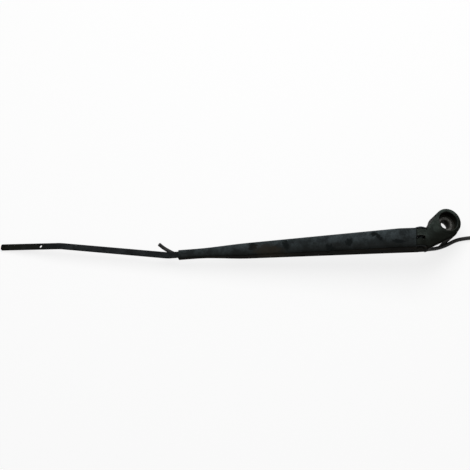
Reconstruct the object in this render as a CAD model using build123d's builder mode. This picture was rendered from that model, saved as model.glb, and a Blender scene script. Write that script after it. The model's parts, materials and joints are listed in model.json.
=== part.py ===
# Front wiper arm without its blade: a cast head that clamps on the wiper spindle, a pressed steel channel
# hinged to the head and pulled down by a tension spring, a flat bar for the blade, and a washer hose.
# Origin: the spindle axis at the nut seat. +X runs from the head to the tip, +Z away from the glass, and +Y to
# the side on which the channel is cranked away from the spindle. Off the car the spring folds the arm onto its
# stop, so the head leans back from the arm, and head and tip lie on one level.
from build123d import *

import os
from math import atan2, cos, degrees, hypot, radians, sin, tan

os.makedirs("parts", exist_ok=True)

# Mounting head, a die casting
boss_diameter = 33.0
boss_height = 25.5
seat_height = 15.0
recess_diameter = 24.0
land_diameter = 10.6
land_length = 3.5
taper_diameter = 13.8
pilot_diameter = 17.0
pilot_depth = 2.5
neck_clearance = 1.5
neck_inset = 0.5
neck_swell = 5.5
neck_swell_angle = 68.0
neck_edge = 3.0
boss_edge = 2.0
rim_chamfer = 0.8
core_wall = 3.4
core_roof = 4.5

# Hinge between head and arm
rest_lean = 28.0
hinge_reach = 33.0
hinge_offset = 26.0
hinge_rise = 18.0
hinge_pin_diameter = 6.0
hinge_running_gap = 0.05
barrel_wall = 2.9
ear_radius = 8.0
ear_wrap = 2.0
swing_gap = 0.4
lift_range = 80.0
pin_head_diameter = 11.0
pin_head_height = 1.7
pin_head_round = 1.2
pin_peen_diameter = 9.0
pin_peen_height = 1.1
pin_peen_round = 0.8

# Flanged hinge bushes
bush_wall = 1.0
bush_flange = 0.8
bush_flange_diameter = 12.0
bush_side_play = 0.15

# Spring link and its pin in the head
link_pin_diameter = 4.0
link_pin_radius = 7.5
link_pin_angle = 216.0
link_thickness = 3.0
link_side_play = 0.6
link_web = 2.6
link_eye_reach = 32.0
link_eye_web = 2.1
link_eye_play = 0.65
link_pivot_gap = 0.15
link_swing_gap = 0.5
lobe_wall = 2.2

# Pressed channel
channel_width = 25.0
channel_height = 18.5
channel_above_hinge = 7.6
channel_wall = 1.4
channel_corner = 3.2
channel_length = 300.0
parallel_length = 25.0
shoulder_from_mouth = 88.0
shoulder_width = 16.7
crimp_length = 24.0
flare_steps = 6
top_setback = 4.5
mouth_height = 7.0
mouth_clearance = 12.6

# Flat bar
bar_width = 8.0
bar_thickness = 3.0
bar_edge = 0.9
bar_side_play = 0.1
bar_inset = 48.0
bar_lead = 14.0
bar_reach = 142.0
bar_fall = 1.6
bar_veer = 7.5
tip_veer = 4.4
tip_length = 83.5
bar_bend_radius = 60.0
tip_corner = 2.4
lock_hole_diameter = 4.2
lock_hole_from_tip = 57.0
dimple_diameter = 2.6
dimple_depth = 0.5
dimple_from_tip = 5.0
rivet_diameter = 4.0
rivet_head_diameter = 6.4
rivet_from_mouth = 12.0
rivet_pitch = 24.0

# Tension spring and its anchor pin in the channel
anchor_reach = 112.0
anchor_drop = 8.3
anchor_pin_diameter = 4.0
anchor_pin_peen = 0.4
spring_wire = 2.2
wire_sides = 6
spring_mean_radius = 3.6
spring_turns = 16.25
hook_shank = 3.0
hook_gap = 0.15

# Washer hose and its clips
hose_diameter = 4.6
hose_bore = 2.4
hose_gap = 0.3
hose_straight = 16.0
arc_share = 0.45
clip_lead = 28.0
clip_length = 8.0
clip_wall = 1.6
clip_play = 0.1
clip_hose_gap = 0.4
clip_opening = 3.9

# Places along the spindle, which leans back from +Z, and the level on which head and tip lie
boss_underside = -seat_height
boss_top = boss_underside + boss_height
neck_underside = boss_underside + neck_clearance
lean_sine = sin(radians(rest_lean))
lean_cosine = cos(radians(rest_lean))
spindle_base = Plane(origin=(0, 0, 0), x_dir=(lean_cosine, 0, lean_sine), z_dir=(-lean_sine, 0, lean_cosine))
spindle_side = Plane(origin=(0, 0, 0), x_dir=spindle_base.x_dir, z_dir=(0, -1, 0))
spindle = Axis(origin=(0, 0, 0), direction=spindle_base.z_dir)
floor = boss_underside * lean_cosine - boss_diameter / 2 * lean_sine

# Places on the arm, measured from the hinge axis
hinge = spindle_base.from_local_coords(Vector(hinge_reach, hinge_offset, boss_underside + hinge_rise))
hinge_side = Plane(origin=hinge, x_dir=(1, 0, 0), z_dir=(0, -1, 0))
lug_side = Plane(origin=hinge, x_dir=spindle_base.x_dir, z_dir=(0, -1, 0))
inner_width = channel_width - 2 * channel_wall
lug_width = inner_width - 2 * (bush_flange + bush_side_play)
slot_width = link_thickness + 2 * link_side_play
cheek_width = (lug_width - slot_width) / 2
bush_diameter = hinge_pin_diameter + 2 * bush_wall
barrel_radius = bush_diameter / 2 + barrel_wall
neck_top = boss_underside + hinge_rise + barrel_radius
ear_sweep = ear_radius + swing_gap
mouth_width = bar_width + 2 * (channel_wall + bar_side_play)
mouth_corner = channel_wall + bar_edge / 2
channel_bottom = channel_above_hinge - channel_height
mouth_bottom = floor + mouth_clearance - hinge.Z
mouth_top = mouth_bottom + mouth_height
shoulder_reach = channel_length - shoulder_from_mouth
flare_length = shoulder_from_mouth - crimp_length
shoulder_share = (channel_width - shoulder_width) / (channel_width - mouth_width)
shoulder_slope = shoulder_share / (shoulder_reach - parallel_length)


def narrowing(x):
    """How far the channel has narrowed at x: a gentle taper to the shoulder, then a flare that runs smoothly into
    the part crimped round the bar, where it is 1."""
    if x < shoulder_reach:
        return shoulder_slope * max(0, x - parallel_length)
    t = min(1, (x - shoulder_reach) / flare_length)
    eased = t * t * (3 - 2 * t)
    return shoulder_share * (1 - eased) + shoulder_slope * flare_length * t * (1 - t) ** 2 + eased


def channel_width_at(x):
    return channel_width + (mouth_width - channel_width) * narrowing(x)


def channel_top_at(x):
    share = max(0, x - parallel_length) / (channel_length - parallel_length)
    return channel_above_hinge + (mouth_top - channel_above_hinge) * share


def channel_bottom_at(x):
    return channel_top_at(x) - channel_height + (channel_height - mouth_height) * narrowing(x)


def channel_corner_at(x):
    return channel_corner + (mouth_corner - channel_corner) * narrowing(x)


def section_plane(x):
    """Plane across the arm at x from the hinge axis, with local x along +Y and local y up."""
    return Plane(origin=hinge + Vector(x, 0, 0), x_dir=(0, 1, 0), z_dir=(1, 0, 0))


def channel_section(x, inset, drop):
    """Outline of the channel at x, inset by a wall and carried down past its open lower side."""
    top = channel_top_at(x) - inset
    bottom = channel_bottom_at(x) - drop
    with BuildSketch(section_plane(x)) as section:
        with Locations((0, (top + bottom) / 2)):
            Rectangle(channel_width_at(x) - 2 * inset, top - bottom)
        fillet(section.vertices().group_by(Axis.Y)[-1], channel_corner_at(x) - inset)
    return section.sketch


# Line of pull of the spring, from the link pin in the head to the anchor pin in the channel
lug_pin_x = link_pin_radius * cos(radians(link_pin_angle))
lug_pin_z = link_pin_radius * sin(radians(link_pin_angle))
rest_pin_angle = link_pin_angle + rest_lean
link_pin_x = link_pin_radius * cos(radians(rest_pin_angle))
link_pin_z = link_pin_radius * sin(radians(rest_pin_angle))


def pull_at(lift):
    """Direction in degrees and length of the line of pull with the arm lifted by so many degrees."""
    turned_x = anchor_reach * cos(radians(lift)) + anchor_drop * sin(radians(lift))
    turned_z = anchor_reach * sin(radians(lift)) - anchor_drop * cos(radians(lift))
    across = turned_x - link_pin_x
    up = turned_z - link_pin_z
    return degrees(atan2(up, across)), hypot(across, up)


pull_angle, pull_length = pull_at(0)
lifted_angle, lifted_length = pull_at(lift_range)
pull_direction = Vector(cos(radians(pull_angle)), 0, sin(radians(pull_angle)))
link_pin_place = hinge + Vector(link_pin_x, 0, link_pin_z)
pull_side = Plane(origin=link_pin_place, x_dir=pull_direction, z_dir=(0, -1, 0))
pull_axis = Plane(origin=link_pin_place, x_dir=(0, 1, 0), z_dir=pull_direction)
print("link turns", round((lifted_angle - pull_angle) / lift_range, 5), "of the lift")
print("spring stretches", round(lifted_length - pull_length, 4), "mm over the lift")

# Mounting head: round boss with nut recess and taper bore, neck cored out from below, and the forked hinge lug
hub_radius = link_pin_diameter / 2 + link_pivot_gap + link_web
slot_rear = lug_pin_x - hub_radius - link_swing_gap
slot_front = ear_sweep
slot_roof = lug_pin_z + hub_radius + link_swing_gap
slot_depth = boss_height
mouth_rear = -barrel_radius / 2
neck_front = hinge_reach - ear_radius + ear_wrap
neck_swell_x = neck_swell * cos(radians(neck_swell_angle))
neck_swell_y = neck_swell * sin(radians(neck_swell_angle))
lug_underside = neck_top - 2 * barrel_radius
core_front = hinge_reach + slot_rear - core_wall
neck_round = boss_diameter / 2 - neck_inset
with BuildPart() as mounting_head:
    with BuildSketch(spindle_base.offset(neck_underside)):
        Circle(neck_round)
        with Locations((neck_swell_x, neck_swell_y)):
            Circle(neck_round)
        with Locations((neck_front - neck_edge / 2, hinge_offset)):
            Rectangle(neck_edge, channel_width)
        make_hull()
    extrude(amount=neck_top - neck_underside)
    fillet(mounting_head.faces().sort_by(spindle)[-1].edges().filter_by(Axis.Y, reverse=True), neck_edge)
    with BuildSketch(spindle_base.offset(neck_underside)):
        Circle(neck_round - core_wall)
        with Locations((core_front - neck_edge, hinge_offset)):
            Rectangle(2 * neck_edge, channel_width - 2 * core_wall)
        make_hull()
    extrude(amount=neck_top - neck_underside - core_roof, mode=Mode.SUBTRACT)
    with BuildSketch(spindle_side):
        with BuildLine():
            Polyline(
                (boss_diameter / 4, neck_underside),
                (neck_front, neck_underside),
                (neck_front, lug_underside),
                close=True,
            )
        make_face()
    extrude(amount=hinge_offset + channel_width, both=True, mode=Mode.SUBTRACT)
    for side in (1, -1):
        with BuildSketch(lug_side.offset(side * lug_width / 2)):
            Circle(ear_sweep)
        extrude(amount=side * channel_width, mode=Mode.SUBTRACT)
    with BuildSketch(lug_side):
        Circle(barrel_radius)
        with Locations((lug_pin_x, lug_pin_z)):
            Circle(link_pin_diameter / 2 + lobe_wall)
        with Locations((-ear_sweep / 2, 0)):
            Rectangle(ear_sweep, 2 * barrel_radius)
        make_hull()
    extrude(amount=lug_width / 2, both=True)
    with BuildSketch(lug_side):
        with Locations(((slot_rear + slot_front) / 2, slot_roof - slot_depth / 2)):
            Rectangle(slot_front - slot_rear, slot_depth)
        with Locations(((mouth_rear + slot_front) / 2, slot_roof)):
            Rectangle(slot_front - mouth_rear, slot_depth)
    extrude(amount=slot_width / 2, both=True, mode=Mode.SUBTRACT)
    with BuildSketch(lug_side):
        Circle(bush_diameter / 2)
        with Locations((lug_pin_x, lug_pin_z)):
            Circle(link_pin_diameter / 2)
    extrude(amount=lug_width, both=True, mode=Mode.SUBTRACT)
    with BuildSketch(spindle_base):
        Circle(neck_round)
    extrude(amount=boss_height, both=True, mode=Mode.SUBTRACT)
    with BuildSketch(spindle_side) as boss_profile:
        with BuildLine():
            Polyline(
                (land_diameter / 2, 0),
                (land_diameter / 2, -land_length),
                (taper_diameter / 2, boss_underside + pilot_depth),
                (pilot_diameter / 2, boss_underside + pilot_depth),
                (pilot_diameter / 2, boss_underside),
                (boss_diameter / 2, boss_underside),
                (boss_diameter / 2, boss_top),
                (recess_diameter / 2, boss_top),
                (recess_diameter / 2, 0),
                close=True,
            )
        make_face()
        rim = boss_profile.vertices().group_by(Axis.Y)[-1].sort_by(Axis.X)
        chamfer(rim[0], rim_chamfer)
        fillet(rim[-1], boss_edge)
    revolve(axis=spindle)
mounting_head.part.label = "mounting_head"
export_step(mounting_head.part, "parts/mounting_head.step")


# Hinge bushes: one flanged sleeve pressed into each cheek of the lug, the flange against the channel's ear
def hinge_bush(side):
    outer_face = hinge_side.offset(-side * lug_width / 2)
    with BuildPart() as bush:
        with BuildSketch(outer_face):
            Circle(bush_diameter / 2)
        extrude(amount=side * cheek_width)
        with BuildSketch(outer_face):
            Circle(bush_flange_diameter / 2)
        extrude(amount=-side * bush_flange)
        with BuildSketch(outer_face):
            Circle(hinge_pin_diameter / 2 + hinge_running_gap)
        extrude(amount=channel_width, both=True, mode=Mode.SUBTRACT)
    return bush.part


for bush_name, bush_side in (("hinge_bush_near", 1), ("hinge_bush_far", -1)):
    bush_part = hinge_bush(bush_side)
    bush_part.label = bush_name
    export_step(bush_part, f"parts/{bush_name}.step")

# Link pin: plain pin across the fork, on which the spring link turns
with BuildPart() as link_pin:
    with BuildSketch(lug_side):
        with Locations((lug_pin_x, lug_pin_z)):
            Circle(link_pin_diameter / 2)
    extrude(amount=lug_width / 2, both=True)
link_pin.part.label = "link_pin"
export_step(link_pin.part, "parts/link_pin.step")

# Channel: tapered pressing, open below, with an ear each side for the hinge pin
slope = atan2(mouth_top - channel_above_hinge, channel_length - parallel_length)
mouth_seat = Plane(
    origin=hinge + Vector(channel_length, 0, mouth_top),
    x_dir=(cos(slope), 0, sin(slope)),
    z_dir=(-sin(slope), 0, cos(slope)),
)
top_wall = channel_wall * cos(slope)
rivet_places = [(-rivet_from_mouth - rivet_pitch * i, 0) for i in range(2)]
countersink = (rivet_head_diameter - rivet_diameter) / 2
flare_places = [shoulder_reach + flare_length * step / flare_steps for step in range(flare_steps + 1)]
outer_places = [top_setback, parallel_length, *flare_places, channel_length]
inner_places = [0, parallel_length, *flare_places, channel_length + channel_wall]
with BuildPart() as arm_channel:
    loft([channel_section(place, 0, 0) for place in outer_places], ruled=True)
    inner = [channel_section(place, channel_wall, channel_wall) for place in inner_places]
    loft(inner, ruled=True, mode=Mode.SUBTRACT)
    for side in (1, -1):
        with BuildSketch(hinge_side.offset(-side * channel_width / 2)):
            Circle(ear_radius)
            wall_top = channel_above_hinge - channel_corner
            with Locations((top_setback + channel_wall, (wall_top + channel_bottom) / 2)):
                Rectangle(2 * channel_wall, wall_top - channel_bottom)
            make_hull()
        extrude(amount=side * channel_wall)
    with BuildSketch(hinge_side):
        Circle(hinge_pin_diameter / 2)
        with Locations((anchor_reach, -anchor_drop)):
            Circle(anchor_pin_diameter / 2)
    extrude(amount=channel_width, both=True, mode=Mode.SUBTRACT)
    with BuildSketch(mouth_seat):
        with Locations(*rivet_places):
            Circle(rivet_head_diameter / 2)
    extrude(amount=-countersink, taper=45, mode=Mode.SUBTRACT)
    with BuildSketch(mouth_seat):
        with Locations(*rivet_places):
            Circle(rivet_diameter / 2)
    extrude(amount=-2 * channel_wall, mode=Mode.SUBTRACT)
arm_channel.part.label = "arm_channel"
export_step(arm_channel.part, "parts/arm_channel.step")

# Hinge pin: rivet through ears and bushes, its domed head on the far side and its peened end on the near one
with BuildPart() as hinge_pin:
    with BuildSketch(hinge_side):
        Circle(hinge_pin_diameter / 2)
    extrude(amount=channel_width / 2, both=True)
    with BuildSketch(hinge_side.offset(channel_width / 2)):
        Circle(pin_head_diameter / 2)
    extrude(amount=pin_head_height)
    fillet(hinge_pin.edges().sort_by(Axis.Y)[0], pin_head_round)
    with BuildSketch(hinge_side.offset(-channel_width / 2)):
        Circle(pin_peen_diameter / 2)
    extrude(amount=-pin_peen_height)
    fillet(hinge_pin.edges().sort_by(Axis.Y)[-1], pin_peen_round)
hinge_pin.part.label = "hinge_pin"
export_step(hinge_pin.part, "parts/hinge_pin.step")

# Bar: flat steel bar riveted under the channel's top, bent on edge and on the flat past the mouth
bar_middle = top_wall + bar_thickness / 2
bar_inner = mouth_seat.from_local_coords(Vector(-bar_inset, 0, -bar_middle))
bar_bend = mouth_seat.from_local_coords(Vector(bar_lead, 0, -bar_middle))
bar_kink = bar_bend + Vector(bar_reach, -bar_reach * tan(radians(bar_veer)), -bar_fall)
tip_drop = bar_kink.Z - floor - bar_thickness / 2
bar_tip = bar_kink + Vector(tip_length, -tip_length * tan(radians(tip_veer)), -tip_drop)
tip_slope = atan2(-tip_drop, tip_length)
tip_line = Vector(cos(tip_slope), 0, sin(tip_slope))
tip_sideways = Vector(0, -tan(radians(tip_veer)), 0) * cos(tip_slope)


def tip_plane(back):
    """Plane on the bar's upper face, so far back from its tip."""
    middle = bar_tip - (tip_line + tip_sideways) * back
    upward = Vector(-sin(tip_slope), 0, cos(tip_slope))
    return Plane(origin=middle + upward * (bar_thickness / 2), x_dir=tip_line, z_dir=upward)


with BuildPart() as arm_bar:
    with BuildSketch() as bar_plan:
        with BuildLine():
            plan = [(place.X, place.Y) for place in (bar_inner, bar_bend, bar_kink, bar_tip)]
            FilletPolyline(*plan, radius=bar_bend_radius)
        trace(line_width=bar_width)
    extrude(amount=channel_width, both=True)
    with BuildSketch(Plane.XZ.offset(-hinge_offset)):
        with BuildLine():
            profile = [(place.X, place.Z) for place in (bar_inner, bar_bend, bar_kink, bar_tip)]
            FilletPolyline(*profile, radius=bar_bend_radius)
        trace(line_width=bar_thickness)
    extrude(amount=bar_reach, both=True, mode=Mode.INTERSECT)
    fillet(arm_bar.edges().filter_by(lambda e: abs((e % 0.5).X) > 0.9), bar_edge)
    with BuildSketch() as rounded_plan:
        add(bar_plan.sketch)
        fillet(rounded_plan.vertices().sort_by(Axis.X)[-2:], tip_corner)
    extrude(amount=channel_width, both=True, mode=Mode.INTERSECT)
    with BuildSketch(tip_plane(lock_hole_from_tip)):
        Circle(lock_hole_diameter / 2)
    extrude(amount=bar_width, both=True, mode=Mode.SUBTRACT)
    with BuildSketch(tip_plane(dimple_from_tip)):
        Circle(dimple_diameter / 2)
    extrude(amount=-dimple_depth, taper=45, mode=Mode.SUBTRACT)
    with BuildSketch(mouth_seat):
        with Locations(*rivet_places):
            Circle(rivet_diameter / 2)
    extrude(amount=-bar_inset, mode=Mode.SUBTRACT)
arm_bar.part.label = "arm_bar"
export_step(arm_bar.part, "parts/arm_bar.step")
print("lock hole at", tip_plane(lock_hole_from_tip).origin, "along", tip_plane(0).z_dir)

# Bar rivets: countersunk into the channel's top and finished flush under the bar
for rivet_name, rivet_place in zip(("bar_rivet_front", "bar_rivet_rear"), rivet_places):
    with BuildPart() as bar_rivet:
        with BuildSketch(mouth_seat):
            with Locations(rivet_place):
                Circle(rivet_head_diameter / 2)
        extrude(amount=-countersink, taper=45)
        with BuildSketch(mouth_seat):
            with Locations(rivet_place):
                Circle(rivet_diameter / 2)
        extrude(amount=-top_wall - bar_thickness)
    bar_rivet.part.label = rivet_name
    export_step(bar_rivet.part, f"parts/{rivet_name}.step")

# Spring anchor pin: cross pin peened into both walls of the channel
with BuildPart() as spring_anchor_pin:
    with BuildSketch(hinge_side):
        with Locations((anchor_reach, -anchor_drop)):
            Circle(anchor_pin_diameter / 2)
    extrude(amount=channel_width_at(anchor_reach) / 2 + anchor_pin_peen, both=True)
spring_anchor_pin.part.label = "spring_anchor_pin"
export_step(spring_anchor_pin.part, "parts/spring_anchor_pin.step")

# Spring link: stamped plate that turns on the link pin, cut out for the hinge pin that comes past as the arm
# lifts, with an eye for the spring's hook
rest_side = rest_pin_angle - 180 - pull_angle
lifted_side = rest_pin_angle - 180 - lifted_angle
pocket_radius = hinge_pin_diameter / 2 + link_swing_gap
pocket_x = link_pin_radius * cos(radians(lifted_side))
pocket_y = link_pin_radius * sin(radians(lifted_side))
eye_radius = spring_wire / 2 + link_eye_play
with BuildPart() as spring_link:
    with BuildSketch(pull_side):
        Circle(hub_radius)
        with Locations((pocket_x, pocket_y)):
            Circle(pocket_radius + link_web)
        make_hull()
    extrude(amount=link_thickness / 2, both=True)
    with BuildSketch(pull_side):
        with Locations((pocket_x + pocket_radius + link_web / 2, pocket_y)):
            Circle(link_web / 2)
        with Locations((link_eye_reach, 0)):
            Circle(eye_radius + link_eye_web)
        make_hull()
    extrude(amount=link_thickness / 2, both=True)
    with BuildSketch(pull_side):
        with BuildLine(mode=Mode.PRIVATE) as pin_way:
            CenterArc((0, 0), link_pin_radius, lifted_side, rest_side - lifted_side)
        SlotArc(pin_way.edge(), 2 * pocket_radius)
        Circle(link_pin_diameter / 2 + link_pivot_gap)
        with Locations((link_eye_reach, 0)):
            Circle(eye_radius)
    extrude(amount=link_thickness, both=True, mode=Mode.SUBTRACT)
spring_link.part.label = "spring_link"
export_step(spring_link.part, "parts/spring_link.step")

# Tension spring: helical coil with a half hook through the link's eye and one round the anchor pin
coil_start = link_eye_reach + spring_mean_radius + hook_shank
hook_seat = pull_length + anchor_pin_diameter / 2 + hook_gap + spring_wire / 2
coil_end = hook_seat - spring_mean_radius - hook_shank
coil_pitch = (coil_end - coil_start) / spring_turns


def spring_hook(place, ahead, across):
    """Path of a half hook: along the shank, half round and a little way back."""
    side = across * spring_mean_radius
    turn = place + ahead * hook_shank
    with BuildLine() as hook:
        Line(place + side - ahead * (spring_wire / 2), turn + side)
        ThreePointArc(turn + side, turn + ahead * spring_mean_radius, turn - side)
        Line(turn - side, turn - side - ahead * (spring_wire / 2))
    return hook.wire()


coil_line = pull_axis.location * Helix(
    coil_pitch, coil_end - coil_start, spring_mean_radius, center=(0, 0, coil_start), mode=Mode.PRIVATE
)
coil_places = [link_pin_place + pull_direction * along for along in (coil_start, coil_end)]
link_hook = spring_hook(coil_places[0], pull_direction * -1, pull_axis.x_dir)
anchor_hook = spring_hook(coil_places[1], pull_direction, pull_axis.y_dir)
with BuildPart() as tension_spring:
    for line, frenet in ((coil_line, True), (link_hook, False), (anchor_hook, False)):
        with BuildSketch(Plane(origin=line @ 0, z_dir=line % 0)):
            RegularPolygon(spring_wire / 2, wire_sides)
        sweep(path=line, is_frenet=frenet)
tension_spring.part.label = "tension_spring"
export_step(tension_spring.part, "parts/tension_spring.step")

# Washer hose: along the channel beside the spring and through the clips, its tail laid past the head as points
# from the hinge axis, its stub turned up beside the bar as points from the channel's mouth
hose_radius = hose_diameter / 2
tail_start = hinge + Vector(14.0, 7.6, -15.4)
tail_route = [
    tail_start,
    hinge + Vector(2.5, 7.2, -17.4),
    hinge + Vector(-7.5, 4.2, -22.2),
    hinge + Vector(-17.0, -0.4, -31.2),
    hinge + Vector(-28.0, -6.4, -36.0),
    hinge + Vector(-38.8, -12.8, -36.8),
    hinge + Vector(-50.0, -14.9, -36.8),
    hinge + Vector(-66.0, -15.8, -36.8),
    hinge + Vector(-86.0, -15.0, -36.8),
    hinge + Vector(-105.0, -15.0, -36.8),
]


def hose_place(x):
    """Centre of the hose at x from the hinge axis, beside the near wall, level with the wall's lower edge or, where
    the walls are low, close under the bar."""
    room = channel_wall + clip_play + clip_wall + clip_hose_gap + hose_radius
    under_bar = channel_top_at(x) - channel_wall - bar_thickness - hose_gap - hose_radius
    return Vector(x, channel_width_at(x) / 2 - room, min(channel_bottom_at(x) + hose_radius, under_bar))


bar_start = channel_length - bar_inset
clip_reaches = {
    "hose_clip_rear": anchor_reach + clip_lead,
    "hose_clip_middle": (anchor_reach + bar_start) / 2,
    "hose_clip_front": bar_start - clip_lead,
}
spring_middle = (link_eye_reach + anchor_reach) / 2
beside_spring = spring_mean_radius + spring_wire / 2 + hose_gap + hose_radius
hose_leave = (tail_start - tail_route[1]).normalized()
hose_route = [tail_start, tail_start + hose_leave * hose_straight]
hose_route += [hinge + Vector(spring_middle, beside_spring, channel_bottom_at(spring_middle) + hose_radius)]
hose_route += [hinge + hose_place(reach) for reach in clip_reaches.values()]
hose_route += [hinge + hose_place(bar_start + bar_inset * share) for share in (0.2, 0.6, 1.0)]
mouth_edge = hinge + Vector(channel_length, 0, mouth_bottom)
hose_route += [
    mouth_edge + Vector(11.9, -6.3, -1.5),
    mouth_edge + Vector(20.0, -10.4, 1.9),
    mouth_edge + Vector(24.7, -13.0, 8.1),
]


def hose_line(name, route):
    """Straight runs joined by the largest arcs that they allow."""
    radii = []
    for before, corner, after in zip(route, route[1:], route[2:]):
        run_in = corner - before
        run_out = after - corner
        half_turn = radians(run_in.get_angle(run_out)) / 2
        radii.append(arc_share * min(run_in.length, run_out.length) / tan(half_turn))
    print(name, "radii", [round(radius, 1) for radius in radii])
    with BuildLine() as line:
        FilletPolyline(*route, radius=radii)
    return line.wire()


for hose_name, route in (("hose_tail", tail_route), ("washer_hose", hose_route)):
    line = hose_line(hose_name, route)
    with BuildPart() as hose:
        with BuildSketch(Plane(origin=line @ 0, z_dir=line % 0)):
            Circle(hose_radius)
            Circle(hose_bore / 2, mode=Mode.SUBTRACT)
        sweep(path=line)
    print(hose_name, "length", round(line.length, 1))
    hose.part.label = hose_name
    export_step(hose.part, f"parts/{hose_name}.step")

# Hose clips: moulded bridges pushed in between the channel's walls, each with an open cradle for the hose
for clip_name, reach in clip_reaches.items():
    place = hose_place(reach)
    clip_width = channel_width_at(reach + clip_length / 2) - 2 * (channel_wall + clip_play)
    with BuildPart() as hose_clip:
        with BuildSketch(section_plane(reach - clip_length / 2)):
            top = place.Z + hose_radius + clip_wall
            with Locations((0, (top + place.Z - clip_wall) / 2)):
                Rectangle(clip_width, top - place.Z + clip_wall)
            with Locations((place.Y, place.Z)):
                Circle(hose_radius + clip_hose_gap, mode=Mode.SUBTRACT)
            with Locations((place.Y, place.Z - hose_diameter)):
                Rectangle(clip_opening, 2 * hose_diameter, mode=Mode.SUBTRACT)
        extrude(amount=clip_length)
    hose_clip.part.label = clip_name
    export_step(hose_clip.part, f"parts/{clip_name}.step")
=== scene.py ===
import json
from math import cos, pi, radians, sin

import bmesh
import bpy
from mathutils import Matrix, Vector


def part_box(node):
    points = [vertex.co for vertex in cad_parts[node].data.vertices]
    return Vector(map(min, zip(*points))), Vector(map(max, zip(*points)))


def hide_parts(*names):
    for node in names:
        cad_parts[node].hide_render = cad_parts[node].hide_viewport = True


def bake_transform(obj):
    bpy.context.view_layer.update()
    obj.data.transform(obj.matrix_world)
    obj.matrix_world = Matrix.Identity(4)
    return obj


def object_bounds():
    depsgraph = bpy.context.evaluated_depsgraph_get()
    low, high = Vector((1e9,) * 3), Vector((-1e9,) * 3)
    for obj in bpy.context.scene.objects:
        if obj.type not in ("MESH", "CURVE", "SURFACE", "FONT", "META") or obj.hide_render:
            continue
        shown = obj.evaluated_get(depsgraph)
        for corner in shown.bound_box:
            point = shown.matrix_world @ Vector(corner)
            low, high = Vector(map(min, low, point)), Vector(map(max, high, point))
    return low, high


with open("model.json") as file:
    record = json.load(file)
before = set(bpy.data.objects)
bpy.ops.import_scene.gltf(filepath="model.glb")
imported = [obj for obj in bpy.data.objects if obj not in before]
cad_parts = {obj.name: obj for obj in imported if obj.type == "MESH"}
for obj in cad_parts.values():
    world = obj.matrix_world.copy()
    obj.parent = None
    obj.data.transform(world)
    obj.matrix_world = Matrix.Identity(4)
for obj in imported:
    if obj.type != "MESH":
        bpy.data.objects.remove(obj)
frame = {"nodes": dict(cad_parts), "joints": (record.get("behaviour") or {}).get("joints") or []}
cad_low, cad_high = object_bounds()
scene = bpy.context.scene
scene.view_settings.view_transform = "Standard"

# Camera: a long lens that looks down on the arm from its near side, with the head to the right. Its place
# comes from lines of the arm that can be followed in the photograph.
camera_data = bpy.data.cameras.new("camera")
camera_data.sensor_width = 36.0
camera_data.lens = 115.0
camera = bpy.data.objects.new("camera", camera_data)
scene.collection.objects.link(camera)
scene.camera = camera
camera_right = Vector((-0.9803, -0.0473, -0.1916)).normalized()
camera_look = Vector((0.1942, -0.4055, -0.8932))
camera_look = (camera_look - camera_right * camera_look.dot(camera_right)).normalized()
camera_up = camera_right.cross(camera_look)
camera_turn = Matrix((camera_right, camera_up, -camera_look)).transposed().to_4x4()
camera_place = Vector((-0.1022, 0.7538, 1.6516))
camera.matrix_world = Matrix.Translation(camera_place) @ camera_turn


# Washer hose: extruded black rubber, matt and a little chalky, with fine draw lines along it. It is clipped
# inside the channel, and its free tail comes down under the hinge and lies on the table past the head.
mm = 0.001
joints = {joint["name"]: joint for joint in frame["joints"]}
hinge = Vector(joints["arm_lift"]["pos_m"])


def swept_tube(name, line, radius, bore, sides):
    """A tube round the points of a line, hollow where it has a bore, with flat ends."""
    mesh = bmesh.new()
    walls = [radius, bore] if bore else [radius]
    along = [(line[1] - line[0]).normalized()]
    along += [(after - before).normalized() for before, after in zip(line, line[2:])]
    along += [(line[-1] - line[-2]).normalized()]
    across = along[0].orthogonal().normalized()
    angles = [2 * pi * step / sides for step in range(sides)]
    loops = []
    for place, ahead in zip(line, along):
        across = (across - ahead * across.dot(ahead)).normalized()
        upright = ahead.cross(across)
        spokes = [across * cos(angle) + upright * sin(angle) for angle in angles]
        loops.append([[mesh.verts.new(place + spoke * wall) for spoke in spokes] for wall in walls])
    for before, after in zip(loops, loops[1:]):
        for wall in range(len(walls)):
            for step in range(sides):
                ahead = (step + 1) % sides
                corners = [before[wall][step], before[wall][ahead], after[wall][ahead], after[wall][step]]
                mesh.faces.new(corners if wall == 0 else corners[::-1])
    for loop, flip in ((loops[0], True), (loops[-1], False)):
        if bore:
            for step in range(sides):
                ahead = (step + 1) % sides
                corners = [loop[0][step], loop[0][ahead], loop[1][ahead], loop[1][step]]
                mesh.faces.new(corners[::-1] if flip else corners)
        else:
            mesh.faces.new(loop[0][::-1] if flip else loop[0])
    bmesh.ops.recalc_face_normals(mesh, faces=mesh.faces)
    data = bpy.data.meshes.new(name)
    mesh.to_mesh(data)
    mesh.free()
    data.shade_smooth()
    data.set_sharp_from_angle(angle=radians(40))
    tube = bpy.data.objects.new(name, data)
    scene.collection.objects.link(tube)
    return tube


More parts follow.
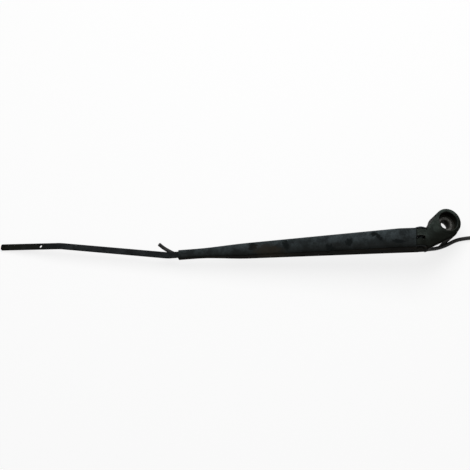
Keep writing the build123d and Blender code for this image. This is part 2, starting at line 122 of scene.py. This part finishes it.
hose_diameter = 4.6 * mm
hose_bore = 2.4 * mm
hose_sides = 24
tail_places = [
    (14.0, 7.6, -15.4),
    (2.5, 7.2, -17.4),
    (-7.5, 4.2, -22.2),
    (-17.0, -0.4, -31.2),
    (-28.0, -6.4, -36.0),
    (-38.8, -12.8, -36.8),
    (-50.0, -14.9, -36.8),
    (-66.0, -15.8, -36.8),
    (-86.0, -15.0, -36.8),
    (-105.0, -15.0, -36.8),
]
tail_curve = bpy.data.curves.new("tail_line", "CURVE")
tail_curve.dimensions = "3D"
tail_curve.resolution_u = 12
tail_spline = tail_curve.splines.new("NURBS")
tail_spline.points.add(len(tail_places) - 1)
for point, place in zip(tail_spline.points, tail_places):
    point.co = (*(hinge + Vector(place) * mm), 1.0)
tail_spline.order_u = 3
tail_spline.use_endpoint_u = True
tail_guide = bpy.data.objects.new("tail_line", tail_curve)
tail_mesh = bpy.data.meshes.new_from_object(tail_guide)
tail_line = [vertex.co.copy() for vertex in tail_mesh.vertices]
bpy.data.objects.remove(tail_guide)
hose_tail = swept_tube("hose_tail_line", tail_line, hose_diameter / 2, hose_bore / 2, hose_sides)
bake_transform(hose_tail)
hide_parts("hose_tail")


class Socket:
    """One socket of a material, on which sums can be written; each sum adds its Math node."""

    def __init__(self, tree, socket=None):
        self.tree = tree
        self.socket = socket

    def node(self, kind, settings=None, inputs=None, output=0):
        """Adds a node: its settings first, then the values or links of its inputs."""
        made = self.tree.nodes.new("ShaderNode" + kind)
        for name, value in (settings or {}).items():
            setattr(made, name, value)
        for name, value in (inputs or {}).items():
            if isinstance(value, Socket):
                self.tree.links.new(value.socket, made.inputs[name])
            else:
                made.inputs[name].default_value = value
        return Socket(self.tree, made.outputs[output])

    def into(self, shader, name):
        self.tree.links.new(self.socket, shader.inputs[name])

    def maths(self, operation, first, second=0.0):
        return self.node("Math", {"operation": operation}, {0: first, 1: second})

    def __add__(self, other):
        return self.maths("ADD", self, other)

    def __sub__(self, other):
        return self.maths("SUBTRACT", self, other)

    def __rsub__(self, other):
        return self.maths("SUBTRACT", other, self)

    def __mul__(self, other):
        return self.maths("MULTIPLY", self, other)

    def __truediv__(self, other):
        return self.maths("DIVIDE", self, other)

    def __abs__(self):
        return self.maths("ABSOLUTE", self)

    __radd__ = __add__
    __rmul__ = __mul__

    def step(self, low, high):
        """Rises smoothly from 0 at low to 1 at high."""
        inputs = {"Value": self, "From Min": low, "From Max": high}
        return self.node("MapRange", {"interpolation_type": "SMOOTHSTEP"}, inputs)

    def grain(self, scale, detail=3.0, rough=0.5):
        """Noise over this place, about 0.5."""
        inputs = {"Vector": self, "Scale": scale, "Detail": detail, "Roughness": rough}
        return self.node("TexNoise", {}, inputs)

    def stretched(self, x, y, z):
        """This place with each way scaled by itself."""
        return self.node("VectorMath", {"operation": "MULTIPLY"}, {0: self, 1: (x, y, z)})

    def colour(self, first, second):
        """The first colour where this is 0, the second where it is 1."""
        return self.node("Mix", {"data_type": "RGBA"}, {0: self, 6: first, 7: second}, 2)

    def covered(self, second, share):
        """This colour with a second one over it, as far as its share goes."""
        return share.colour(self, second)

    def part(self, letter):
        """One of the three parts of this place."""
        return self.node("SeparateXYZ", {}, {0: self}, letter)

    def dot(self, way):
        """How far this place lies along a way."""
        return self.node("VectorMath", {"operation": "DOT_PRODUCT"}, {0: self, 1: way}, "Value")


def new_finish(name):
    """A material, its shader, and the place on the piece that carries it."""
    material = bpy.data.materials.new(name)
    material.use_nodes = True
    tree = material.node_tree
    shader = tree.nodes["Principled BSDF"]
    return material, shader, Socket(tree).node("TexCoord", output="Object")


def bumped(height, shader, depth, strength):
    """Raises the surface by a height of 0 to 1, so many metres deep."""
    inputs = {"Height": height, "Distance": depth, "Strength": strength}
    height.node("Bump", {}, inputs).into(shader, "Normal")


def hose_rubber():
    clean = (0.009, 0.009, 0.0085, 1)
    chalky = (0.026, 0.026, 0.024, 1)
    road_dust = (0.06, 0.056, 0.046, 1)
    material, shader, place = new_finish("hose_rubber")
    bloom = place.grain(120.0, 4.0).step(0.42, 0.68)
    lines = place.stretched(0.12, 1.0, 1.0).grain(1600.0, 2.0)
    dust = place.grain(900.0, 5.0, 0.7).step(0.5, 0.75) * 0.4
    bloom.colour(clean, chalky).covered(road_dust, dust).into(shader, "Base Color")
    (0.52 + bloom * 0.18 + lines * 0.08).into(shader, "Roughness")
    bumped(lines, shader, 0.08 * mm, 0.5)
    shader.inputs["Specular IOR Level"].default_value = 0.22
    return material


def dressed(name, material):
    """Gives a solid of the frame its finish."""
    data = frame["nodes"][name].data
    data.materials.clear()
    data.materials.append(material)


rubber = hose_rubber()
hose_tail.data.materials.append(rubber)
dressed("washer_hose", rubber)


# Mounting head: an aluminium die casting, painted satin black, that a nut clamps on the serrated taper of the
# spindle. The paint has gone dull under a greenish film of dust and is rubbed grey along the edges; the grey
# edges also paint the highlights round the rim of the recess, and painted shade darkens the head towards its
# near side. The seat of the nut is bare metal, with a ring that the nut has bitten.
def rubbed_edge(place, width):
    """1 along the edges, within so many metres, and 0 elsewhere."""
    rounded = place.node("Bevel", {"samples": 6}, {"Radius": width})
    flat = place.node("NewGeometry", output="Normal")
    return (1 - rounded.dot(flat)).step(0.004, 0.12)


def black_paint(name, base, film, grime, wear, worn_width):
    """Satin black paint: dust on what faces up, which also paints the tops lighter than the walls as light
    from above would; a lighter film on faces turned down and towards the far side, painted as a sheen;
    streaks of grime and rubbed edges. Gives the material, its shader, the place, the colour and the streaks."""
    scuffed = (0.05, 0.052, 0.052, 1)
    rubbed = (0.12, 0.12, 0.116, 1)
    darker = tuple(0.6 * part for part in base[:3]) + (1,)
    sheen_film_way = (0.2, -0.4, -0.9)
    material, shader, place = new_finish(name)
    facing = place.node("TexCoord", output="Normal")
    up = facing.part("Z")
    below = facing.dot(sheen_film_way).step(-0.15, 0.6)
    broad = place.grain(30.0, 4.0, 0.6)
    cloudy = place.grain(95.0, 5.0, 0.62)
    fine = place.grain(760.0, 5.0, 0.65)
    streaks = place.stretched(0.05, 1.0, 1.0).grain(520.0, 4.0, 0.6)
    patchy = 0.34 + broad.step(0.4, 0.6) * 0.3 + cloudy.step(0.42, 0.6) * 0.42
    # Dust settles on what faces up, and its lighter film also paints the tops lighter than the walls, as
    # light from above would.
    settled_dust_and_top_light = up.step(0.3, 0.97) * patchy
    # Painted sheen: a lighter film on faces turned down and towards the far side, so that their form shows.
    painted_sheen_film = below * (0.24 + broad.step(0.36, 0.64) * 0.3)
    # The dust share carries the dust together with both kinds of painted light above.
    dust = (settled_dust_and_top_light + painted_sheen_film) * (0.72 + fine.step(0.36, 0.7) * 0.34)
    runs = (1 - up.step(0.25, 0.8)) * streaks.step(0.45, 0.72) * broad.step(0.3, 0.6)
    edge = rubbed_edge(place, worn_width) * fine.step(0.36, 0.6) * cloudy.step(0.34, 0.6) * wear
    scuffs = (1 - abs(streaks - 0.5).step(0.0, 0.012)) * cloudy.step(0.5, 0.62) * 0.45
    paint = (fine * 0.5 + cloudy * 0.5).step(0.35, 0.65).colour(darker, base)
    colour = paint.covered(film, dust).covered(grime, runs * 0.8)
    colour = colour.covered(scuffed, scuffs * 0.5).covered(rubbed, edge)
    (0.44 + dust * 0.24 + (fine - 0.5) * 0.14 - edge * 0.1).into(shader, "Roughness")
    shader.inputs["Specular IOR Level"].default_value = 0.004
    return material, shader, place, colour, streaks


def head_finish():
    near_side_painted_shade = (0.0045, 0.0043, 0.0031, 1)
    silt_brown = (0.02, 0.017, 0.012, 1)
    tarnished = (0.03, 0.029, 0.025, 1)
    bright = (0.15, 0.148, 0.138, 1)
    recess_radius = 12.0 * mm
    seat_radius = 11.2 * mm
    bitten_radius = 7.9 * mm
    taper_radius = 7.0 * mm
    taper_top = -3.5 * mm
    serrations = 72.0
    spindle_lean = radians(28.0)
    # The rubbed edges are strong here: besides worn paint they paint the highlights round the rim of the
    # recess.
    material, shader, place, colour, _ = black_paint(
        "head_paint", base=(0.0085, 0.0092, 0.0078, 1), film=(0.054, 0.069, 0.0605, 1),
        grime=(0.011, 0.0095, 0.006, 1), wear=0.75, worn_width=1.2 * mm,
    )
    height = place.dot((-sin(spindle_lean), 0, cos(spindle_lean)))
    ahead = place.dot((cos(spindle_lean), 0, sin(spindle_lean)))
    beside = place.part("Y")
    radius = place.maths("SQRT", ahead * ahead + beside * beside)
    within = 1 - radius.step(recess_radius + 0.2 * mm, recess_radius + 0.5 * mm)
    silt = within * (1 - height.step(0.4 * mm, 7.0 * mm)) * place.grain(420.0, 4.0).step(0.3, 0.6)
    bare = (1 - radius.step(seat_radius, seat_radius + 0.6 * mm)) * (1 - height.step(0.1 * mm, 0.4 * mm))
    # Painted shade: the head turns darker towards its near side, away from the light; the recess is left out.
    near = beside * 0.84 - ahead * 0.55 + (place.grain(70.0, 4.0) - 0.5) * (9.0 * mm)
    painted_shade_share = near.step(-9.0 * mm, 14.0 * mm) * (1 - within)
    ring = 1 - abs(radius - bitten_radius).step(1.0 * mm, 1.9 * mm)
    bitten = ring * place.grain(900.0, 4.0).step(0.36, 0.58)
    metal = bitten.colour(tarnished, bright)
    colour = colour.covered(near_side_painted_shade, painted_shade_share * 0.9).covered(silt_brown, silt)
    colour.covered(metal, bare).into(shader, "Base Color")
    (bare * bitten * 0.7).into(shader, "Metallic")
    teeth = place.maths("SINE", place.maths("ARCTAN2", beside, ahead) * serrations)
    bore = 1 - radius.step(taper_radius, taper_radius + 0.2 * mm)
    tapered = bore * (1 - height.step(taper_top - 0.4 * mm, taper_top))
    bumped(teeth * tapered + place.grain(1500.0, 3.0) * 0.2, shader, 0.25 * mm, 0.6)
    return material


dressed("mounting_head", head_finish())


# Channel with its pins and rivets: pressed from steel sheet and painted satin black, open below, hinged by
# its ears and folded tight round the bar at its mouth. Its top has a bluish film of road dust, wiped off in
# a few dark marks; the film's bluish tint also paints the reflection of the sky. On the top, painted shade
# darkens the near half and a painted highlight lightens the far edge.
def channel_finish():
    near_half_painted_shade = (0.0085, 0.0092, 0.0085, 1)
    far_edge_painted_highlight = (0.085, 0.098, 0.105, 1)
    wiped_paint = (0.006, 0.0075, 0.0075, 1)
    stain_brown = (0.02, 0.0165, 0.012, 1)
    half_width_at_spindle = 13.1 * mm
    narrowing = 0.021
    wiped_marks = [
        (76.6, 24.0, 6.8, 2.2, 131.0),
        (84.0, 20.0, 4.0, 2.6, 20.0),
        (112.9, 27.5, 5.0, 4.4, 60.0),
        (135.9, 32.3, 6.0, 3.2, 160.0),
        (190.5, 25.2, 7.8, 3.2, 112.0),
        (232.0, 24.0, 5.0, 5.0, 0.0),
        (54.0, 31.0, 7.0, 2.2, 170.0),
    ]
    stained_mark = (212.0, 31.0, 20.0, 7.0, 165.0)
    # The channel's bluish film is road dust, and its tint also paints the reflection of the sky on the top.
    material, shader, place, colour, streaks = black_paint(
        "channel_paint", base=(0.0056, 0.0054, 0.0047, 1), film=(0.051, 0.064, 0.0685, 1),
        grime=(0.02, 0.0158, 0.009, 1), wear=0.4, worn_width=0.6 * mm,
    )
    x = place.part("X")
    y = place.part("Y")
    ragged = place.grain(330.0, 5.0, 0.65) - 0.5
    across = (y - hinge.y) / (half_width_at_spindle - x * narrowing) + ragged * 0.7
    top = place.node("TexCoord", output="Normal").part("Z").step(0.3, 0.9)
    # Painted shade: the top darkens towards its near side.
    colour = colour.covered(near_half_painted_shade, across.step(-0.9, 1.0) * top * 0.88)
    # Painted highlight: a lighter band along the top's far edge.
    colour = colour.covered(far_edge_painted_highlight, (1 - across.step(-1.25, -0.7)) * top * 0.6)

    def mark(along, aside, length, width, turn):
        """A soft oval on the channel's top, in millimetres from the spindle and turned by so many degrees."""
        cosine = cos(radians(turn))
        sine = sin(radians(turn))
        ahead = ((x - along * mm) * cosine + (y - aside * mm) * sine) / (length * mm)
        beside = ((y - aside * mm) * cosine - (x - along * mm) * sine) / (width * mm)
        return 1 - (ahead * ahead + beside * beside + ragged * 5.0).step(0.0, 2.0)

    wiped = sum(mark(*wiped_mark) for wiped_mark in wiped_marks)
    colour = colour.covered(wiped_paint, wiped.step(0.0, 0.9) * 0.92)
    colour.covered(stain_brown, mark(*stained_mark) * 0.7).into(shader, "Base Color")
    bumped(place.grain(1500.0, 3.0) + streaks * 0.3, shader, 0.05 * mm, 0.3)
    return material


channel_paint = channel_finish()
for piece in ("arm_channel", "bar_rivet_front", "bar_rivet_rear", "hinge_pin", "spring_anchor_pin"):
    dressed(piece, channel_paint)


# Bar: flat steel bar, cut, bent, riveted under the channel's top and painted black with it. It has less dust
# than the channel, is darker and more olive towards the tip, has a drilled dimple at the tip whose edge is
# darkened with painted shade, and has edges that are rubbed where blades have been pushed on.
def bar_finish():
    olive = (0.0072, 0.007, 0.0042, 1)
    dimple_painted_shade = (0.004, 0.004, 0.003, 1)
    dimple_radius = 1.3 * mm
    bar_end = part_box("arm_bar")[1].x
    dimple = Vector((bar_end - 4.9 * mm, 1.3 * mm, -18.4 * mm))
    tip_tone_start = 480.0 * mm
    tip_tone_full = 530.0 * mm
    material, shader, place, colour, streaks = black_paint(
        "bar_paint", base=(0.0075, 0.008, 0.008, 1), film=(0.0235, 0.0265, 0.028, 1),
        grime=(0.012, 0.011, 0.008, 1), wear=0.35, worn_width=0.6 * mm,
    )
    # The bar turns darker and more olive towards its tip.
    patchy = 0.6 + place.grain(60.0, 4.0).step(0.35, 0.65) * 0.4
    tip = place.part("X").step(tip_tone_start, tip_tone_full) * patchy
    centre = place.node("VectorMath", {"operation": "DISTANCE"}, {0: place, 1: dimple}, "Value")
    # Painted shade: a dark ring round the edge of the drilled dimple.
    ring = 1 - abs(centre - dimple_radius).step(0.15 * mm, 0.6 * mm)
    colour.covered(olive, tip * 0.85).covered(dimple_painted_shade, ring).into(shader, "Base Color")
    bumped(place.grain(1500.0, 3.0) + streaks * 0.3, shader, 0.05 * mm, 0.3)
    return material


dressed("arm_bar", bar_finish())


# Link pin and spring link: a steel cross pin pressed into the head's fork, and a stamped steel plate that
# turns on it. Both are zinc plated and have gone dull, with patches of old grease.
def plated_metal(name, clean, stained, roughness):
    material, shader, place = new_finish(name)
    patches = place.grain(260.0, 5.0, 0.6).step(0.4, 0.66)
    fine = place.grain(2400.0, 3.0)
    patches.colour(clean, stained).into(shader, "Base Color")
    (roughness + patches * 0.22 + (fine - 0.5) * 0.12).into(shader, "Roughness")
    (1 - patches * 0.35).into(shader, "Metallic")
    bumped(fine, shader, 0.03 * mm, 0.4)
    return material


zinc = plated_metal("dull_zinc", clean=(0.36, 0.36, 0.35, 1), stained=(0.12, 0.11, 0.095, 1), roughness=0.38)
for linkage in ("link_pin", "spring_link"):
    dressed(linkage, zinc)


# Tension spring: round spring steel wire, blacked and oiled, and wound open as it stands under load. It has a
# half hook through the link's eye and one round the anchor pin.
wire_diameter = 2.2 * mm
wire_sides = 12
coil_radius = 3.6 * mm
coil_turns = 16.25
shank = 3.0 * mm
link_eye_reach = 32.0 * mm
hook_gap = 0.15 * mm
hook_steps = 14
turn_steps = 28
smoothing_rounds = 3
link_pin = Vector(joints["link_swing"]["pos_m"])
pin_low, pin_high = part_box("spring_anchor_pin")
anchor_pin = (pin_low + pin_high) / 2
anchor_radius = (pin_high.x - pin_low.x) / 2
pull = (anchor_pin - link_pin).normalized()
sideways = Vector((0, 1, 0))
upright = pull.cross(sideways)
coil_start = link_eye_reach + coil_radius + shank
hook_reach = (anchor_pin - link_pin).length + anchor_radius + hook_gap + wire_diameter / 2
coil_end = hook_reach - coil_radius - shank


def half_hook(place, ahead, side):
    """Points of a hook from the coil outward: along the shank, half round and a little way back."""
    turn = place + ahead * shank
    points = [place + side * coil_radius, place + side * coil_radius + ahead * (shank / 2)]
    for step in range(hook_steps + 1):
        angle = pi * step / hook_steps
        points.append(turn + side * (coil_radius * cos(angle)) + ahead * (coil_radius * sin(angle)))
    points.append(turn - side * coil_radius - ahead * (wire_diameter / 2))
    return points


coil_line = []
for step in range(int(coil_turns * turn_steps) + 1):
    angle = 2 * pi * step / turn_steps
    along = coil_start + (coil_end - coil_start) * step / (coil_turns * turn_steps)
    spoke = sideways * cos(angle) + upright * sin(angle)
    coil_line.append(link_pin + pull * along + spoke * coil_radius)
link_hook = half_hook(link_pin + pull * coil_start, -pull, sideways)
anchor_hook = half_hook(link_pin + pull * coil_end, pull, upright)
wire_line = link_hook[:0:-1] + coil_line + anchor_hook[1:]
for _ in range(smoothing_rounds):
    triples = zip(wire_line, wire_line[1:], wire_line[2:])
    smoothed = [(before + 2 * here + after) / 4 for before, here, after in triples]
    wire_line = [wire_line[0], *smoothed, wire_line[-1]]
spring_wire = swept_tube("spring_wire", wire_line, wire_diameter / 2, 0, wire_sides)
blacked = plated_metal(
    "blacked_steel", clean=(0.055, 0.055, 0.057, 1), stained=(0.02, 0.018, 0.016, 1), roughness=0.42,
)
spring_wire.data.materials.append(blacked)
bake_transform(spring_wire)
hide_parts("tension_spring")


# Hose clips and hinge bushes: moulded in black acetal. The clips are bridges pushed in between the channel's
# walls, and the bushes are flanged sleeves pressed into the head's fork, in which the hinge pin turns.
def black_moulding():
    moulded_black = (0.014, 0.014, 0.0145, 1)
    hazed_black = (0.032, 0.031, 0.03, 1)
    material, shader, place = new_finish("black_moulding")
    texture = place.grain(3000.0, 3.0)
    haze = place.grain(180.0, 4.0).step(0.42, 0.66)
    haze.colour(moulded_black, hazed_black).into(shader, "Base Color")
    (0.4 + haze * 0.2 + (texture - 0.5) * 0.1).into(shader, "Roughness")
    bumped(texture, shader, 0.02 * mm, 0.4)
    return material


moulding = black_moulding()
for clip in ("hose_clip_rear", "hose_clip_middle", "hose_clip_front"):
    dressed(clip, moulding)
for bush in ("hinge_bush_near", "hinge_bush_far"):
    dressed(bush, moulding)


# Table and light: a white table that keeps a soft shadow, a large soft lamp above and behind the arm, and an
# even pale room, which looks white to the camera and in shiny pieces.
white = (1, 1, 1, 1)
table_reach = 4.0
white_share = 0.8
room_light = 0.3


def looked_at(socket):
    """1 for what is seen, straight, mirrored or through glass, and 0 for light that falls on things."""
    seen = socket.node("LightPath", output="Is Camera Ray")
    mirrored = socket.node("LightPath", output="Is Glossy Ray")
    return seen + mirrored + socket.node("LightPath", output="Is Transmission Ray")


table_mesh = bpy.data.meshes.new("table")
quarters = ((-1, -1), (1, -1), (1, 1), (-1, 1))
corners = [(x * table_reach, y * table_reach, cad_low.z) for x, y in quarters]
table_mesh.from_pydata(corners, [], [(0, 1, 2, 3)])
table = bpy.data.objects.new("table", table_mesh)
scene.collection.objects.link(table)
table_finish, table_shader, table_place = new_finish("white_table")
table_shader.inputs["Base Color"].default_value = (0.92, 0.92, 0.92, 1)
table_shader.inputs["Roughness"].default_value = 0.85
table_shader.inputs["Specular IOR Level"].default_value = 0.1
table_tree = table_finish.node_tree
glow = table_place.node("Emission", {}, {"Color": white, "Strength": 1.0})
plain = Socket(table_tree, table_shader.outputs[0])
shown = looked_at(table_place) * white_share
mixed = table_place.node("MixShader", {}, {0: shown, 1: plain, 2: glow})
mixed.into(table_tree.nodes["Material Output"], "Surface")
table.data.materials.append(table_finish)

world = bpy.data.worlds.new("pale_room")
world.use_nodes = True
scene.world = world
room = world.node_tree.nodes["Background"]
room.inputs["Color"].default_value = white
(room_light + looked_at(Socket(world.node_tree)) * (1 - room_light)).into(room, "Strength")

lamp_place = Vector((0.15, -0.7, 1.4))
lamp_aim = Vector((0.25, 0.0, 0.0))
window_data = bpy.data.lights.new("window", "AREA")
window_data.size = 1.4
window_data.energy = 22.0
window = bpy.data.objects.new("window", window_data)
window.location = lamp_place
window.rotation_euler = (lamp_aim - lamp_place).to_track_quat("-Z", "Y").to_euler()
scene.collection.objects.link(window)
